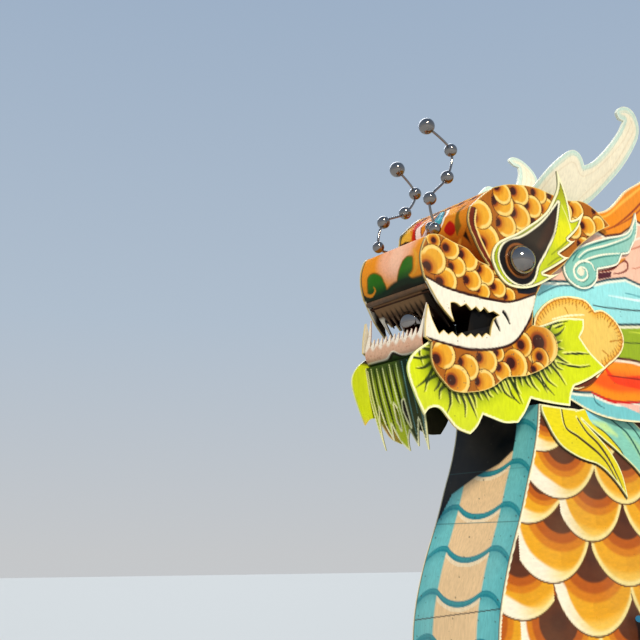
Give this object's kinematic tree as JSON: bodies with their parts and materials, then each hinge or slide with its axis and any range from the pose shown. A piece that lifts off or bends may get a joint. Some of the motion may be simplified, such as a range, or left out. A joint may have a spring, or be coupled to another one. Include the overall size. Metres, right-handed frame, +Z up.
{
  "type": "dragon boat",
  "caption": "River tour boat with a cut-plate dragon figurehead, a gabled porch, a cabin with hinged doors, and a dragon tail.",
  "frame": {"origin": "on the centreline at the waterline, amidships", "axes": "+X forward to the dragon's snout, +Y to port, +Z up"},
  "size_m": [13.5178, 3.38, 4.6086],
  "materials": {
    "gold_paint": "gloss",
    "lime_paint": "gloss",
    "white_paint": "gloss",
    "cyan_paint": "gloss",
    "teal_paint": "gloss",
    "cream_paint": "gloss",
    "fan_paint": "gloss",
    "orange_paint": "gloss",
    "scale_paint": "gloss",
    "belly_paint": "gloss",
    "hull_paint": "gloss",
    "blue_paint": "gloss",
    "black_rubber": "matt",
    "black_paint": "satin",
    "pink_paint": "gloss",
    "polished_ball": "polished",
    "stainless": "satin",
    "red_paint": "gloss",
    "wood": "varnished",
    "engine_iron": "matt",
    "bronze": "satin"
  },
  "bodies": {
    "boat": {"hull": "hull_paint", "skeg": "black_paint", "bulwark_port": "blue_paint", "bulwark_starboard": "blue_paint", "rubbing_strake_port": "black_rubber", "rubbing_strake_starboard": "black_rubber", "neck_side_port": "scale_paint", "neck_side_starboard": "scale_paint", "neck_belly_sheet": "belly_paint", "neck_back_sheet": "orange_paint", "head_core": "orange_paint", "mane_port": "cyan_paint", "mane_starboard": "cyan_paint", "fan_port": "fan_paint", "fan_starboard": "fan_paint", "ear_port": "teal_paint", "ear_starboard": "teal_paint", "fringe_port": "lime_paint", "fringe_starboard": "lime_paint", "face_port": "gold_paint", "face_starboard": "gold_paint", "eye_plate_port": "lime_paint", "eye_plate_starboard": "lime_paint", "eye_ball_port": "polished_ball", "eye_ball_starboard": "polished_ball", "horn_port": "cream_paint", "horn_starboard": "cream_paint", "nose_sheet": "orange_paint", "forehead_sheet": "gold_paint", "palate": "pink_paint", "lower_jaw_sheet": "pink_paint", "beard": "lime_paint", "pearl": "polished_ball", "brow_ball": "polished_ball", "whisker_port": "polished_ball", "whisker_starboard": "polished_ball", "front_bulkhead": "white_paint", "aft_bulkhead": "white_paint", "cabin_wall_port": "white_paint", "cabin_wall_starboard": "white_paint", "roof": "red_paint", "fascia": "fan_paint", "porch_roof": "orange_paint", "ridge_ornament": "red_paint", "porch_rail_port": "stainless", "porch_rail_starboard": "stainless", "bench_port": "wood", "bench_starboard": "wood", "mooring_post_port": "wood", "mooring_post_starboard": "wood", "helm_console": "wood", "engine_block": "engine_iron", "dragon_tail": "gold_paint"},
    "front_door_port": {"front_door_port": "wood"},
    "front_door_starboard": {"front_door_starboard": "wood"},
    "aft_door": {"aft_door": "wood"},
    "engine_hatch": {"engine_hatch": "wood"},
    "steering_wheel": {"steering_wheel": "wood"},
    "rudder": {"rudder": "black_paint"},
    "propeller": {"propeller": "bronze"}
  },
  "joints": [
    {"name": "front_door_port_hinge", "type": "hinge", "parent": "boat", "child": "front_door_port", "pos_m": [1.41, 0.6025, 1.5], "axis": [0, 0, 1], "range_deg": [0, 100]},
    {"name": "front_door_starboard_hinge", "type": "hinge", "parent": "boat", "child": "front_door_starboard", "pos_m": [1.41, -0.6025, 1.5], "axis": [0, 0, -1], "range_deg": [0, 100]},
    {"name": "aft_door_hinge", "type": "hinge", "parent": "boat", "child": "aft_door", "pos_m": [-4.41, 0.355, 1.5], "axis": [0, 0, -1], "range_deg": [0, 100]},
    {"name": "engine_hatch_hinge", "type": "hinge", "parent": "boat", "child": "engine_hatch", "pos_m": [-5.732, 0, 0.641], "axis": [0, -1, 0], "range_deg": [0, 95]},
    {"name": "wheel_turn", "type": "hinge", "parent": "boat", "child": "steering_wheel", "pos_m": [2.64, 0.85, 1.29], "axis": [1, 0, 0], "range_deg": [-450, 450]},
    {"name": "rudder_turn", "type": "hinge", "parent": "boat", "child": "rudder", "pos_m": [-5.9, 0, -0.4], "axis": [0, 0, 1], "range_deg": [-35, 35]},
    {"name": "propeller_spin", "type": "hinge", "parent": "boat", "child": "propeller", "pos_m": [-5.4, 0, -0.5], "axis": [1, 0, 0], "continuous": true}
  ],
  "couplings": [
    {"joint": "rudder_turn", "follows": "wheel_turn", "ratio": 0.0777}
  ]
}
